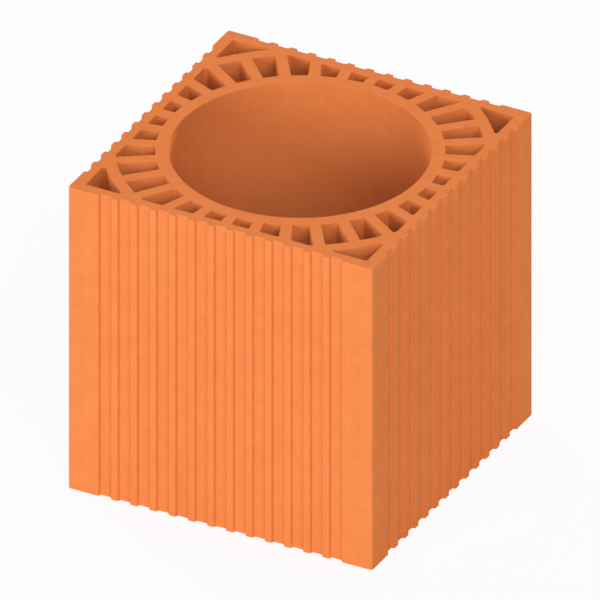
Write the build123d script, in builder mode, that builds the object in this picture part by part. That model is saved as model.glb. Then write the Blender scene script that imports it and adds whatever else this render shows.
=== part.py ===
"""Perforated clay brick with a round bore.

One extruded and fired piece, standing on its lower bed face. The bore runs
along +Z, and the origin is at the middle of the lower bed face.
"""

import os

from build123d import *

# The brick's section, from the bore outwards, in millimetres
block_height = 250.0  # along the bore, between the two wire-cut bed faces
bore_diameter = 187.4
ring_wall = 9.6  # clay ring between the bore and the cells
side_cell_depth = 10.0  # radial depth of the cells at the middle of a side
outer_wall = 9.2  # from the cells out to the rib faces
arris_round = 2.3  # the four upright outer edges

# Cells round the bore, and the four cells in the corners
cell_count = 32
radial_web = 8.3  # parallel-sided web between two neighbouring cells
long_cell_depth = 28.4  # radial depth of the cells beside the diagonals
corner_web = 8.6  # between the long cells and the corner cells
cell_round = 1.5  # the upright edges inside every cell

# Upright plaster-key grooves, alike on the four sides
groove_mouth = 10.1  # across a groove at the rib faces
rib_width = 5.37  # rib face between two grooves
groove_depth = 2.5
flank_lean = 0.7  # how far each flank leans in from the mouth to the floor
rib_edge_round = 0.5
groove_floor_round = 1.6
least_corner_band = 23.5  # plain face kept beside every upright edge

cut_overrun = 5.0  # how far a cutting profile passes the face that it cuts
round_limit_share = 0.4  # of a cell's shortest side, the most that its edges are rounded by

# Radii and half widths that follow from the walls
bore_radius = bore_diameter / 2
ring_radius = bore_radius + ring_wall
cell_line = ring_radius + side_cell_depth  # from the axis to the cells' straight outer sides
half_side = cell_line + outer_wall
block_side = 2 * half_side
long_cell_radius = ring_radius + long_cell_depth
corner_cell_radius = long_cell_radius + corner_web

# As many grooves as leave the plain bands at the corners
groove_pitch = groove_mouth + rib_width
grooved_width = block_side - 2 * least_corner_band
groove_count = int((grooved_width - groove_mouth) / groove_pitch) + 1
groove_floor = groove_mouth - 2 * flank_lean


def limited_round(cells):
    """The cells' rounding, no larger than the shortest side of any cell allows."""
    shortest_side = min(edge.length for edge in cells.edges())
    return min(cell_round, round_limit_share * shortest_side)


# One groove, cut down from the line y = 0
with BuildSketch() as groove:
    with BuildLine():
        Polyline(
            (-groove_mouth / 2, 0),
            (-groove_floor / 2, -groove_depth),
            (groove_floor / 2, -groove_depth),
            (groove_mouth / 2, 0),
            (groove_mouth / 2, cut_overrun),
            (-groove_mouth / 2, cut_overrun),
            close=True,
        )
    make_face()
    fillet(groove.vertices().group_by(Axis.Y)[0], groove_floor_round)

# The row of grooves for one side, at the +Y face
with BuildSketch() as groove_row:
    with Locations((0, half_side)):
        with GridLocations(groove_pitch, 0, groove_count, 1):
            add(groove.sketch)

# The outline: a square with its grooves, upright edges and rib edges rounded
with BuildSketch() as outline:
    Rectangle(block_side, block_side)
    fillet(outline.vertices(), arris_round)
    with PolarLocations(0, 4):
        add(groove_row.sketch, mode=Mode.SUBTRACT)
    groove_vertices = outline.vertices(Select.LAST)
    rib_line = half_side - groove_depth / 2
    rib_vertices = groove_vertices.filter_by(lambda v: max(abs(v.X), abs(v.Y)) > rib_line)
    fillet(rib_vertices, rib_edge_round)

# The ring of cells: a square ring with arcs across its corners, parted by the radial webs
with BuildSketch() as ring_cells:
    Circle(long_cell_radius)
    Rectangle(2 * cell_line, 2 * cell_line, mode=Mode.INTERSECT)
    Circle(ring_radius, mode=Mode.SUBTRACT)
    with PolarLocations(0, cell_count):
        Rectangle(
            long_cell_radius + cut_overrun,
            radial_web,
            align=(Align.MIN, Align.CENTER),
            mode=Mode.SUBTRACT,
        )
    fillet(ring_cells.vertices(), limited_round(ring_cells))

# The corner cells: what an arc round the bore leaves of the same square's corners
with BuildSketch() as corner_cells:
    Rectangle(2 * cell_line, 2 * cell_line)
    Circle(corner_cell_radius, mode=Mode.SUBTRACT)
    fillet(corner_cells.vertices(), limited_round(corner_cells))

# The whole brick: the section extruded along the bore
with BuildPart() as clay_brick:
    with BuildSketch():
        add(outline.sketch)
        Circle(bore_radius, mode=Mode.SUBTRACT)
        add(ring_cells.sketch, mode=Mode.SUBTRACT)
        add(corner_cells.sketch, mode=Mode.SUBTRACT)
    extrude(amount=block_height)

clay_brick.part.label = "clay_brick"

os.makedirs("parts", exist_ok=True)
export_step(clay_brick.part, "parts/clay_brick.step")

print(f"brick {block_side:.1f} x {block_side:.1f} x {block_height:.1f} mm")
print(f"{groove_count} grooves on each side, {cell_count} ring cells")
print(f"volume {clay_brick.part.volume:.0f} mm3")
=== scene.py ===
import math

import bpy
import numpy as np
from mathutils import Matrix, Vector
from mathutils.geometry import tessellate_polygon


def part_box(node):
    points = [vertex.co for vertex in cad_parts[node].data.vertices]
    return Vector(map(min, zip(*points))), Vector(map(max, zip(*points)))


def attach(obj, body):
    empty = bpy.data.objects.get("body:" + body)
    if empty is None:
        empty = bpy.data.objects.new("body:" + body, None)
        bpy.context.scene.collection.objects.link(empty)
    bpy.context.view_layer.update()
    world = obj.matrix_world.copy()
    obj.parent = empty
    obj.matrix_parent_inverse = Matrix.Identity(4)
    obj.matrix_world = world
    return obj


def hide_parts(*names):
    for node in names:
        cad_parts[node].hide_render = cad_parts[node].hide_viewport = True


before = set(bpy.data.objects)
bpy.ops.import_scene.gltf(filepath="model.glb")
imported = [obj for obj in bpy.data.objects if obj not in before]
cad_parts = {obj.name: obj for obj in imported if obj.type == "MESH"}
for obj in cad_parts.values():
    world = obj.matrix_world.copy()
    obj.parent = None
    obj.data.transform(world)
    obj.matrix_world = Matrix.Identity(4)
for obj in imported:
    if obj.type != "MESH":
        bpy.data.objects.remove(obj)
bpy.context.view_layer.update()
blockLow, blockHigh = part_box("clay_brick")
mm = 0.001
quarterTurn = math.pi / 2


brick = {
    "halfSide": (blockHigh.x - blockLow.x) / 2,
    "height": blockHigh.z,
    "arrisRound": 2.3 * mm,  # the four upright outer edges
    "boreRadius": 93.7 * mm,
    "borePoints": 288,
    "ringRadius": 103.3 * mm,  # inner ends of the ring cells
    "cellLine": 113.3 * mm,  # straight outer sides of the cells
    "longCellRadius": 131.7 * mm,  # curved outer ends of the long cells
    "cornerCellRadius": 140.3 * mm,  # curved inner side of the corner cells
    "cellsInEighth": 4,
    "webStep": math.radians(11.25),
    "halfWeb": 4.15 * mm,
    "cellRound": 1.2 * mm,
    "cellArcNodes": 3,  # along a ring cell's curved side, between its corners
    "cornerCellRound": 1.5 * mm,
    "cornerArcNodes": 4,  # along a corner cell's curved side
    "easedShare": 0.4,  # of the shorter run beside a node on a curve, taken up by its own small arc
    "grooveCount": 13,
    "groovePitch": 15.47 * mm,
    "grooveMouth": 10.1 * mm,
    "grooveFloor": 8.7 * mm,
    "grooveDepth": 2.5 * mm,
    "ribRound": 0.5 * mm,
    "floorRound": 1.6 * mm,
    "cornerSteps": 6,  # points round each corner
    "bedEdge": 0.3 * mm,  # rounding where the wire cut the column of clay
    "bedEdgeSteps": 4,  # rings up each edge
    "bedEdgeSpread": 0.35,  # how unevenly the wire left it
    "bedEdgeWaves": (23 * mm, 11 * mm, 6.1 * mm),  # lengths of that unevenness along an edge
    "bedEdgeShares": (0.5, 0.3, 0.2),
    "bedEdgeFewest": 2,  # waves of each length round a small loop
    "bedEdgePhase": 1.7,  # from one loop to the next
    "bedEdgeStarts": (1.0, 2.3, 3.7),  # where each wave starts, times the loop's own phase
}


# unit vectors at angles in the plane: x = cos a, y = sin a
def spokes(angles):
    return np.stack([np.cos(angles), np.sin(angles)], axis=1)


# straight runs joined by arcs: an arc starts radius * tan(turn / 2) before its corner, its points are the
# centre plus the radius times the normal at the heading reached. Clay is on the left of the line.
def roundedLoop(nodes, rounds, b):
    run = np.roll(nodes, -1, axis=0) - nodes
    runLength = np.hypot(run[:, 0], run[:, 1])
    headingOut = np.arctan2(run[:, 1], run[:, 0])
    headingIn = np.roll(headingOut, 1)
    turn = (headingOut - headingIn + np.pi) % (2 * np.pi) - np.pi
    eased = b["easedShare"] * np.minimum(runLength, np.roll(runLength, 1))
    setBack = np.where(rounds > 0, rounds * np.abs(np.tan(turn / 2)), eased)
    radius = setBack / np.tan(turn / 2)
    along = spokes(headingIn)
    left = np.stack([-along[:, 1], along[:, 0]], axis=1)
    centre = nodes - setBack[:, None] * along + radius[:, None] * left
    heading = headingIn[:, None] + turn[:, None] * np.linspace(0, 1, b["cornerSteps"])[None, :]
    normal = np.stack([np.sin(heading), -np.cos(heading)], axis=2)
    points = centre[:, None, :] + radius[:, None, None] * normal
    return points.reshape(-1, 2), normal.reshape(-1, 2)


# a loop turned about the axis: x' = x cos a - y sin a, y' = x sin a + y cos a
def turned(pairs, angle):
    c, s = math.cos(angle), math.sin(angle)
    return pairs @ np.array([[c, s], [-s, c]])


# a loop mirrored in the diagonal x = y, run backwards so that clay stays on its left
def mirrored(pairs):
    return pairs[::-1, ::-1]


# the outline: per groove four corners, mouth - floor - floor - mouth, repeated along a side, then four sides
def outlineLoop(b):
    h, count = b["halfSide"], b["grooveCount"]
    middle = (np.arange(count) - (count - 1) / 2) * b["groovePitch"]
    across = np.array([-b["grooveMouth"], -b["grooveFloor"], b["grooveFloor"], b["grooveMouth"]]) / 2
    into = np.array([0, b["grooveDepth"], b["grooveDepth"], 0])
    x = (middle[:, None] + across[None, :]).ravel()
    y = np.tile(into, count) - h
    side = np.vstack([[[-h, -h]], np.stack([x, y], axis=1)])
    grooveRounds = [b["ribRound"], b["floorRound"], b["floorRound"], b["ribRound"]]
    sideRounds = np.concatenate([[b["arrisRound"]], np.tile(grooveRounds, count)])
    nodes = np.vstack([turned(side, quarter * quarterTurn) for quarter in range(4)])
    return roundedLoop(nodes, np.tile(sideRounds, 4), b)


# the bore: a circle run clockwise, its normals pointing at the axis
def boreLoop(b):
    ring = spokes(-np.linspace(0, 2 * np.pi, b["borePoints"], endpoint=False))
    return b["boreRadius"] * ring, -ring


# nodes on an arc about the axis, evenly between two angles and without its ends
def arcBetween(radius, start, end, count):
    return radius * spokes(np.linspace(start, end, count + 2)[1:-1])


# a ring cell in the first eighth: two web sides at halfWeb from radial lines, an arc at the ring, and outside
# the nearer of the line x = cellLine and the arc of the long cells
def ringCellLoop(b, place):
    u = spokes(np.array([place, place + 1]) * b["webStep"])
    aside = np.stack([-u[:, 1], u[:, 0]], axis=1) * np.array([[1], [-1]]) * b["halfWeb"]
    innerReach = math.sqrt(b["ringRadius"] ** 2 - b["halfWeb"] ** 2)
    arcReach = math.sqrt(b["longCellRadius"] ** 2 - b["halfWeb"] ** 2)
    lineReach = (b["cellLine"] - aside[:, 0]) / u[:, 0]
    inner = innerReach * u + aside
    outer = np.minimum(lineReach, arcReach)[:, None] * u + aside
    innerAngle = np.arctan2(inner[:, 1], inner[:, 0])
    outerAngle = np.arctan2(outer[:, 1], outer[:, 0])
    meet = math.acos(b["cellLine"] / b["longCellRadius"])  # where the line gives way to the arc
    near = arcBetween(b["ringRadius"], *innerAngle, b["cellArcNodes"])
    eased = [0] * b["cellArcNodes"]
    far, farRounds = np.zeros((0, 2)), []
    if outerAngle[0] < meet < outerAngle[1]:
        far = np.array([[b["cellLine"], b["longCellRadius"] * math.sin(meet)]])
        farRounds = [b["cellRound"]]
    elif outerAngle[0] > meet:
        far = arcBetween(b["longCellRadius"], *outerAngle[::-1], b["cellArcNodes"])
        farRounds = eased
    corner = b["cellRound"]
    nodes = np.vstack([inner[:1], near, inner[1:], outer[1:], far, outer[:1]])
    rounds = np.array([corner, *eased, corner, corner, *farRounds, corner])
    return roundedLoop(nodes, rounds, b)


# a corner cell: the square's corner beyond an arc about the axis
def cornerCellLoop(b):
    line, radius, corner = b["cellLine"], b["cornerCellRadius"], b["cornerCellRound"]
    tip = math.acos(line / radius)
    ends = radius * spokes(np.array([tip, quarterTurn - tip]))
    arc = arcBetween(radius, tip, quarterTurn - tip, b["cornerArcNodes"])
    eased = [0] * b["cornerArcNodes"]
    nodes = np.vstack([ends[:1], arc, ends[1:], [[line, line]]])
    return roundedLoop(nodes, np.array([corner, *eased, corner, corner]), b)


# the loop carried up the bore's axis: quarter rounds of the uneven bed edge below and above, a straight wall
# between. A ring's points are loop - normal * edge * (1 - cos t), at edge * (1 - sin t) from its bed.
# The edge is bedEdge * (1 + spread * wave), and the wave is a sum of sines along the loop.
def carriedLoop(b, loop, normal, phase):
    step = np.hypot(*(np.roll(loop, -1, axis=0) - loop).T)
    run = np.concatenate([[0], np.cumsum(step)])
    turns = 2 * np.pi * run[:-1] / run[-1]
    cycles = np.maximum(b["bedEdgeFewest"], np.round(run[-1] / np.array(b["bedEdgeWaves"])))
    starts = phase * np.array(b["bedEdgeStarts"])
    wave = np.sin(turns[:, None] * cycles + starts) @ np.array(b["bedEdgeShares"])
    edge = b["bedEdge"] * (1 + b["bedEdgeSpread"] * wave)
    t = np.linspace(quarterTurn, 0, b["bedEdgeSteps"])
    drawn, rise = 1 - np.cos(t), 1 - np.sin(t)
    xy = loop[None] - normal[None] * (drawn[:, None] * edge)[:, :, None]
    lowZ = rise[:, None] * edge[None, :]
    flat = np.cos(t)[:, None, None] * normal[None]
    upright = np.broadcast_to(np.sin(t)[:, None, None], (len(t), len(loop), 1))
    low = np.concatenate([xy, lowZ[:, :, None]], axis=2)
    high = np.concatenate([xy, b["height"] - lowZ[:, :, None]], axis=2)[::-1]
    lowNormal = np.concatenate([flat, -upright], axis=2)
    highNormal = np.concatenate([flat, upright], axis=2)[::-1]
    return np.concatenate([low, high]), np.concatenate([lowNormal, highNormal])


# quads between neighbouring rings: point j of ring r, j + 1 of r, j + 1 of r + 1, j of r + 1
def wallQuads(rings, count, start):
    r, j = np.meshgrid(np.arange(rings - 1), np.arange(count), indexing="ij")
    k = (j + 1) % count
    quads = np.stack([r * count + j, r * count + k, (r + 1) * count + k, (r + 1) * count + j], axis=2)
    return start + quads.reshape(-1, 4)


# a bed filled between all loops: a triangle whose signed area shows that it faces inwards is run backwards
def bedTriangles(points, rings, up):
    filled = np.array(tessellate_polygon([points[ring].tolist() for ring in rings]))
    tris = np.concatenate(rings)[filled]
    a, c, d = points[tris[:, 0]], points[tris[:, 1]], points[tris[:, 2]]
    area = (c[:, 0] - a[:, 0]) * (d[:, 1] - a[:, 1]) - (c[:, 1] - a[:, 1]) * (d[:, 0] - a[:, 0])
    wrong = (area > 0) != up
    tris[wrong] = tris[wrong][:, ::-1]
    bedArea = float(np.abs(area).sum()) / 2
    print("bed filled, triangles", len(tris), "area in mm2", round(bedArea / mm**2, 1))
    return tris


# the whole brick as one closed mesh: every loop's wall, and the two beds filled between the loops
def makeBrick(b):
    loops = [outlineLoop(b), boreLoop(b)]
    cells = [ringCellLoop(b, place) for place in range(b["cellsInEighth"])]
    cells += [(mirrored(p), mirrored(n)) for p, n in cells]
    cells.append(cornerCellLoop(b))
    for quarter in range(4):
        angle = quarter * quarterTurn
        loops += [(turned(p, angle), turned(n, angle)) for p, n in cells]
    points, normals, quads, lowRings, highRings, start = [], [], [], [], [], 0
    for order, (loop, normal) in enumerate(loops):
        place, facing = carriedLoop(b, loop, normal, b["bedEdgePhase"] * order)
        rings, count = place.shape[:2]
        points.append(place.reshape(-1, 3))
        normals.append(facing.reshape(-1, 3))
        quads.append(wallQuads(rings, count, start))
        lowRings.append(start + np.arange(count))
        highRings.append(start + (rings - 1) * count + np.arange(count))
        start += rings * count
    points, normals, quads = np.vstack(points), np.vstack(normals), np.vstack(quads)
    beds = np.vstack([bedTriangles(points, lowRings, False), bedTriangles(points, highRings, True)])
    mesh = bpy.data.meshes.new("firedBrick")
    mesh.from_pydata(points.tolist(), [], quads.tolist() + beds.tolist())
    mesh.polygons.foreach_set("use_smooth", np.ones(len(mesh.polygons), dtype=bool))
    mesh.normals_split_custom_set_from_vertices(normals.tolist())
    mesh.update()
    made = bpy.data.objects.new("firedBrick", mesh)
    bpy.context.scene.collection.objects.link(made)
    print("brick made, points", len(points), "faces", len(mesh.polygons))
    return made


firedBrick = makeBrick(brick)

clayFinish = {
    "redTone": (0.683, 0.192, 0.0535),  # scene-linear colours of the fired body
    "buffTone": (0.713, 0.218, 0.0655),
    "bedTint": (1.05, 1.01, 0.97),  # the cut beds show the redder body under the die's skin
    "bedFacing": (0.6, 0.95),  # upright part of the normal where walls end and where beds begin
    "boreShadeTone": (0.680, 0.228, 0.072),  # painted shade: less red deep in the bore, standing in for the weaker red of the light bounced there
    "boreReach": 110 * mm,  # how far from the beds the painted bore shade reaches full strength
    "cellShadeTone": (0.560, 0.182, 0.056),  # painted shade: darker deep in the cells
    "cellReach": 35 * mm,
    "cellMargin": 0.5 * mm,  # past the cells' outer sides, where the painted inner shade ends
    "chalkTone": (0.760, 0.270, 0.100),  # dust on worn edges and pale grains of sand
    "burntTone": (0.420, 0.095, 0.028),  # dark grains and pores
    "chalkShare": 0.55,  # of the grains, the others are burnt
    "coreShare": 0.55,  # of a grain's reach, out to which it is full
    "wornReach": (1.6 * mm, 0.2 * mm),  # from a bed, where wear begins and where it is full
    "wornMix": 0.45,
    "dustTint": (1.0, 0.32, 0.10),  # loose dust, which brightens where the surface is seen edge on
    "dustWeight": 1.0,
    "dustRoughness": 0.30,
    "roughness": 0.82,
    "grainRoughness": 0.2,  # its swing with the grain
    "bedRoughness": 0.05,  # added on the beds
    "gloss": 0.03,
    "relief": 0.3,  # strength of the bump
    # patterns: scale in patches a metre, shade as the swing of the tone, height in millimetres
    "drift": {"scale": 9.0, "detail": 2.0, "mix": 1.1},  # from the kiln, shifts the mix of red and buff
    "mottle": {"scale": 95.0, "detail": 4.0, "shade": 0.08, "height": 0.10},
    "grain": {"scale": 1300.0, "detail": 3.0, "shade": 0.16, "height": 0.10},
    "streak": {  # upright lines left by the die
        "scale": 420.0, "detail": 3.0, "shade": 0.10, "height": 0.06,
        "stretch": (1, 1, 0.012),
    },
    "drag": {  # lines left by the cutting wire
        "scale": 700.0, "detail": 3.0, "shade": 0.12, "height": 0.12,
        "stretch": (0.02, 1, 1), "turn": math.radians(7),  # keeps the noise's own grid off the lines
    },
    # cells that hold no grain are the bare share, reach is in widths of a cell
    "speck": {"scale": 330.0, "bareShare": 0.72, "reach": 0.17, "mix": 0.45, "height": 0.05},
    "pore": {"scale": 520.0, "bareShare": 0.8, "reach": 0.16, "mix": 0.4, "height": -0.25},
}
noiseMiddle = 0.5  # the level that a noise swings about
mixFirst, mixSecond, mixResult = 6, 7, 2  # the colour sockets of a Mix node


# a new node with its settings, and its inputs either linked or given a value
def addNode(tree, kind, inputs, **settings):
    made = tree.nodes.new(kind)
    for name, value in settings.items():
        setattr(made, name, value)
    for socket, value in inputs.items():
        if isinstance(value, bpy.types.NodeSocket):
            tree.links.new(value, made.inputs[socket])
        else:
            made.inputs[socket].default_value = value
    return made


# one sum: operation of a and b, and of c where the operation takes three
def calc(tree, operation, *terms, clamp=False):
    inputs = dict(enumerate(terms))
    return addNode(tree, "ShaderNodeMath", inputs, operation=operation, use_clamp=clamp).outputs[0]


# 0 at the start value and 1 at the end value, clamped outside
def ramp(tree, value, start, end, **settings):
    inputs = {"Value": value, "From Min": start, "From Max": end}
    return addNode(tree, "ShaderNodeMapRange", inputs, **settings).outputs["Result"]


# first * (1 - factor) + second * factor, where a blend that multiplies takes first * second for second
def mixTones(tree, factor, first, second, **settings):
    inputs = {"Factor": factor}
    for socket, tone in ((mixFirst, first), (mixSecond, second)):
        inputs[socket] = tone if isinstance(tone, bpy.types.NodeSocket) else (*tone, 1)
    return addNode(tree, "ShaderNodeMix", inputs, data_type="RGBA", **settings).outputs[mixResult]


# noise between 0 and 1 at so many patches a metre, its space stretched and then turned by the mapping
def noiseOf(tree, coords, p):
    mapping = {"Vector": coords, "Scale": p.get("stretch", (1, 1, 1)), "Rotation": (0, 0, p.get("turn", 0))}
    placed = addNode(tree, "ShaderNodeMapping", mapping).outputs[0]
    inputs = {"Vector": placed, "Scale": p["scale"], "Detail": p["detail"]}
    return addNode(tree, "ShaderNodeTexNoise", inputs).outputs["Fac"]


# grains: cells whose own random number is over the bare share, round their centres out to the reach
def grainsOf(tree, coords, p, coreShare):
    cells = addNode(tree, "ShaderNodeTexVoronoi", {"Vector": coords, "Scale": p["scale"]}).outputs
    chance = addNode(tree, "ShaderNodeSeparateColor", {"Color": cells["Color"]}).outputs
    core = coreShare * p["reach"]
    near = ramp(tree, cells["Distance"], p["reach"], core, interpolation_type="SMOOTHSTEP")
    kept = calc(tree, "GREATER_THAN", chance["Red"], p["bareShare"])
    return calc(tree, "MULTIPLY", near, kept), chance["Green"]


# painted shade inside: depth = way to the nearer bed over the bore's or the cells' reach, 0 beyond the cells
# the painted shade tone is darker in the cells and less red in the bore
def innerPaintedShade(tree, spot, axes, toEdge, c, b):
    fromAxis = calc(tree, "MAXIMUM", calc(tree, "ABSOLUTE", axes["X"]), calc(tree, "ABSOLUTE", axes["Y"]))
    within = calc(tree, "LESS_THAN", fromAxis, b["cellLine"] + c["cellMargin"])
    level = addNode(tree, "ShaderNodeVectorMath", {0: spot, 1: (1, 1, 0)}, operation="MULTIPLY").outputs[0]
    radius = addNode(tree, "ShaderNodeVectorMath", {0: level}, operation="LENGTH").outputs["Value"]
    inCell = calc(tree, "GREATER_THAN", radius, (b["boreRadius"] + b["ringRadius"]) / 2)
    boreDepth = ramp(tree, toEdge, 0, c["boreReach"])
    cellDepth = ramp(tree, toEdge, 0, c["cellReach"])
    depths = {"Factor": inCell, "A": boreDepth, "B": cellDepth}
    depth = addNode(tree, "ShaderNodeMix", depths).outputs["Result"]
    return calc(tree, "MULTIPLY", within, depth), mixTones(tree, inCell, c["boreShadeTone"], c["cellShadeTone"])


# the clay: tone = mix of red and buff by drift and mottle, times 1 + the sum of each pattern less its middle
# times its shade, then grains, pores and dust over it. Relief = the sum of each pattern times its height.
def makeClay(c, b):
    clay = bpy.data.materials.new("firedClay")
    clay.use_nodes = True
    tree = clay.node_tree
    shader = tree.nodes["Principled BSDF"]
    place = addNode(tree, "ShaderNodeTexCoord", {})
    spot = place.outputs["Object"]
    facing = addNode(tree, "ShaderNodeSeparateXYZ", {"Vector": place.outputs["Normal"]})
    bed = ramp(tree, calc(tree, "ABSOLUTE", facing.outputs["Z"]), *c["bedFacing"])
    wall = calc(tree, "SUBTRACT", 1.0, bed)
    drift, mottle, grain = (noiseOf(tree, spot, c[name]) for name in ("drift", "mottle", "grain"))
    streak = calc(tree, "MULTIPLY", noiseOf(tree, spot, c["streak"]), wall)
    drag = calc(tree, "MULTIPLY", noiseOf(tree, spot, c["drag"]), bed)
    speck, speckKind = grainsOf(tree, spot, c["speck"], c["coreShare"])
    pore = grainsOf(tree, spot, c["pore"], c["coreShare"])[0]
    grainSwing = calc(tree, "SUBTRACT", grain, noiseMiddle)

    # worn bed edges: strong at either end of a wall, broken up by the mottling
    axes = addNode(tree, "ShaderNodeSeparateXYZ", {"Vector": spot}).outputs
    toEdge = calc(tree, "MINIMUM", axes["Z"], calc(tree, "SUBTRACT", b["height"], axes["Z"]))
    atEdge = ramp(tree, toEdge, *c["wornReach"])
    worn = calc(tree, "MULTIPLY", calc(tree, "MULTIPLY", atEdge, wall), mottle)

    # the body's colour, on the beds, and with painted shade deep inside
    driftSwing = calc(tree, "SUBTRACT", drift, noiseMiddle)
    share = calc(tree, "MULTIPLY_ADD", driftSwing, c["drift"]["mix"], mottle, clamp=True)
    body = mixTones(tree, share, c["redTone"], c["buffTone"])
    body = mixTones(tree, bed, body, c["bedTint"], blend_type="MULTIPLY")
    # painted shade: darker deep in the cells, less red deep in the bore
    depth, innerShadeTone = innerPaintedShade(tree, spot, axes, toEdge, c, b)
    body = mixTones(tree, depth, body, innerShadeTone)

    # the small variations on it
    swings = {
        "grain": grainSwing,
        "mottle": calc(tree, "SUBTRACT", mottle, noiseMiddle),
        "streak": calc(tree, "SUBTRACT", streak, calc(tree, "MULTIPLY", wall, noiseMiddle)),
        "drag": calc(tree, "SUBTRACT", drag, calc(tree, "MULTIPLY", bed, noiseMiddle)),
    }
    shade = 1.0
    for name, swing in swings.items():
        shade = calc(tree, "MULTIPLY_ADD", swing, c[name]["shade"], shade)
    tone = addNode(tree, "ShaderNodeVectorMath", {0: body, "Scale": shade}, operation="SCALE").outputs[0]
    burnt = calc(tree, "GREATER_THAN", speckKind, c["chalkShare"])
    grainTone = mixTones(tree, burnt, c["chalkTone"], c["burntTone"])
    tone = mixTones(tree, calc(tree, "MULTIPLY", speck, c["speck"]["mix"]), tone, grainTone)
    tone = mixTones(tree, calc(tree, "MULTIPLY", pore, c["pore"]["mix"]), tone, c["burntTone"])
    tone = mixTones(tree, calc(tree, "MULTIPLY", worn, c["wornMix"]), tone, c["chalkTone"])
    tree.links.new(tone, shader.inputs["Base Color"])

    # roughness, and relief in millimetres
    rough = calc(tree, "MULTIPLY_ADD", grainSwing, c["grainRoughness"], c["roughness"])
    rough = calc(tree, "MULTIPLY_ADD", bed, c["bedRoughness"], rough, clamp=True)
    tree.links.new(rough, shader.inputs["Roughness"])
    raised = {"grain": grain, "mottle": mottle, "streak": streak, "drag": drag, "pore": pore, "speck": speck}
    relief = 0.0
    for name, pattern in raised.items():
        relief = calc(tree, "MULTIPLY_ADD", pattern, c[name]["height"], relief)
    bump = addNode(tree, "ShaderNodeBump", {"Height": relief, "Distance": mm, "Strength": c["relief"]})
    tree.links.new(bump.outputs[0], shader.inputs["Normal"])
    shader.inputs["Specular IOR Level"].default_value = c["gloss"]
    shader.inputs["Sheen Weight"].default_value = c["dustWeight"]
    shader.inputs["Sheen Roughness"].default_value = c["dustRoughness"]
    shader.inputs["Sheen Tint"].default_value = (*c["dustTint"], 1)
    print("clay mixed, nodes", len(tree.nodes))
    return clay


firedBrick.data.materials.append(makeClay(clayFinish, brick))
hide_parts("clay_brick")
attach(firedBrick, "root")

stage = {
    "floorSize": 14.0,
    "floorDrop": 0.2 * mm,
    "floorTone": (0.85, 0.85, 0.85),
    "floorWhite": 0.90,  # share of plain white that the camera sees, the rest is lit and takes the shadow
    "skyLight": 0.295,
    "lampDistance": 3.0,
    "azimuth": 27.83,  # the camera's place round the brick
    "elevation": 31.03,
    "cameraDistance": 2.0,
    "pixelsPerMetre": 1404.5,
    "frame": 600,
    "middlePixel": (300.29, 300.35),  # the brick's middle, from the left and from the top
}
lamps = {  # azimuth, elevation and breadth in degrees, level 1 lights a face square to it to its own colour
    "keyLamp": (345, 10, 30, 0.53),
    "fillLamp": (41, 38, 45, 0.59),
    "backLamp": (240, 25, 20, 0.34),
    "rimLamp": (182, 10, 20, 0.55),
}
plainWhite = (1, 1, 1, 1)


# unit vector towards a place round the brick: azimuth from the front, elevation above the floor
def towards(azimuth, elevation):
    a, e = math.radians(azimuth), math.radians(elevation)
    return Vector((math.sin(a) * math.cos(e), -math.cos(a) * math.cos(e), math.sin(e)))


# 1 for rays that show the background itself: the greatest of camera, mirror and glass rays
def shownRays(tree):
    path = addNode(tree, "ShaderNodeLightPath", {}).outputs
    seen = calc(tree, "MAXIMUM", path["Is Camera Ray"], path["Is Glossy Ray"])
    return calc(tree, "MAXIMUM", seen, path["Is Transmission Ray"])


# the floor: a square about the axis, shown as floorWhite parts of plain white and the rest of the lit floor
def layFloor(s):
    half, low = s["floorSize"] / 2, -s["floorDrop"]
    corners = [(-half, -half, low), (half, -half, low), (half, half, low), (-half, half, low)]
    mesh = bpy.data.meshes.new("floor")
    mesh.from_pydata(corners, [], [(0, 1, 2, 3)])
    floor = bpy.data.objects.new("floor", mesh)
    bpy.context.scene.collection.objects.link(floor)
    paper = bpy.data.materials.new("paleFloor")
    paper.use_nodes = True
    tree = paper.node_tree
    tree.nodes.remove(tree.nodes["Principled BSDF"])
    lit = addNode(tree, "ShaderNodeBsdfDiffuse", {"Color": (*s["floorTone"], 1)})
    white = addNode(tree, "ShaderNodeEmission", {"Strength": 1.0})
    share = calc(tree, "MULTIPLY", shownRays(tree), s["floorWhite"])
    both = addNode(tree, "ShaderNodeMixShader", {0: share, 1: lit.outputs[0], 2: white.outputs[0]})
    tree.links.new(both.outputs[0], tree.nodes["Material Output"].inputs["Surface"])
    mesh.materials.append(paper)
    print("floor laid")


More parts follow.
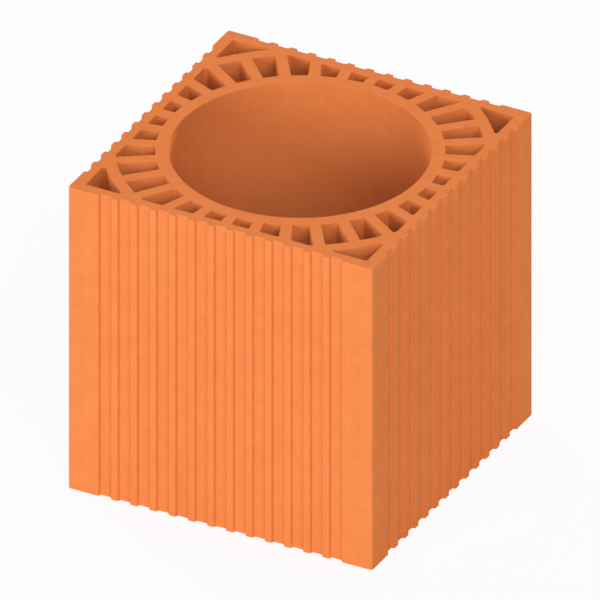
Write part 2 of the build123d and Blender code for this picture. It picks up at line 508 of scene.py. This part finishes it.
# the sky: skyLight times white as light on the brick, plain white where the background itself is seen
def makeSky(s):
    sky = bpy.data.worlds.new("paleSky")
    bpy.context.scene.world = sky
    sky.use_nodes = True
    tree = sky.node_tree
    light = tree.nodes["Background"]
    light.inputs["Color"].default_value = plainWhite
    light.inputs["Strength"].default_value = s["skyLight"]
    shown = addNode(tree, "ShaderNodeBackground", {"Color": plainWhite, "Strength": 1.0})
    shares = {0: shownRays(tree), 1: light.outputs[0], 2: shown.outputs[0]}
    both = addNode(tree, "ShaderNodeMixShader", shares)
    tree.links.new(both.outputs[0], tree.nodes["World Output"].inputs["Surface"])
    print("sky made")


# suns: a level of 1 is pi watts a square metre, which a white face sends back as 1
def hangLamps(places, s):
    for name, (azimuth, elevation, breadth, level) in places.items():
        light = bpy.data.lights.new(name, "SUN")
        light.energy = level * math.pi
        light.angle = math.radians(breadth)
        hung = bpy.data.objects.new(name, light)
        bpy.context.scene.collection.objects.link(hung)
        hung.location = towards(azimuth, elevation) * s["lampDistance"]
        hung.rotation_euler = towards(azimuth, elevation).to_track_quat("Z", "Y").to_euler()
    print("lamps hung", len(places))


# a parallel view: ortho scale = frame / pixels per metre, shift = how far the brick's middle lies off the
# frame's, over the frame
def setCamera(s, middle):
    fromLeft, fromTop = s["middlePixel"]
    lens = bpy.data.cameras.new("photoCamera")
    lens.type = "ORTHO"
    lens.ortho_scale = s["frame"] / s["pixelsPerMetre"]
    lens.shift_x = (s["frame"] / 2 - fromLeft) / s["frame"]
    lens.shift_y = (fromTop - s["frame"] / 2) / s["frame"]
    camera = bpy.data.objects.new("photoCamera", lens)
    bpy.context.scene.collection.objects.link(camera)
    camera.location = middle + towards(s["azimuth"], s["elevation"]) * s["cameraDistance"]
    camera.rotation_euler = (quarterTurn - math.radians(s["elevation"]), 0, math.radians(s["azimuth"]))
    bpy.context.scene.camera = camera
    print("camera set")


layFloor(stage)
makeSky(stage)
hangLamps(lamps, stage)
setCamera(stage, Vector((0, 0, brick["height"] / 2)))
bpy.context.scene.view_settings.view_transform = "Standard"
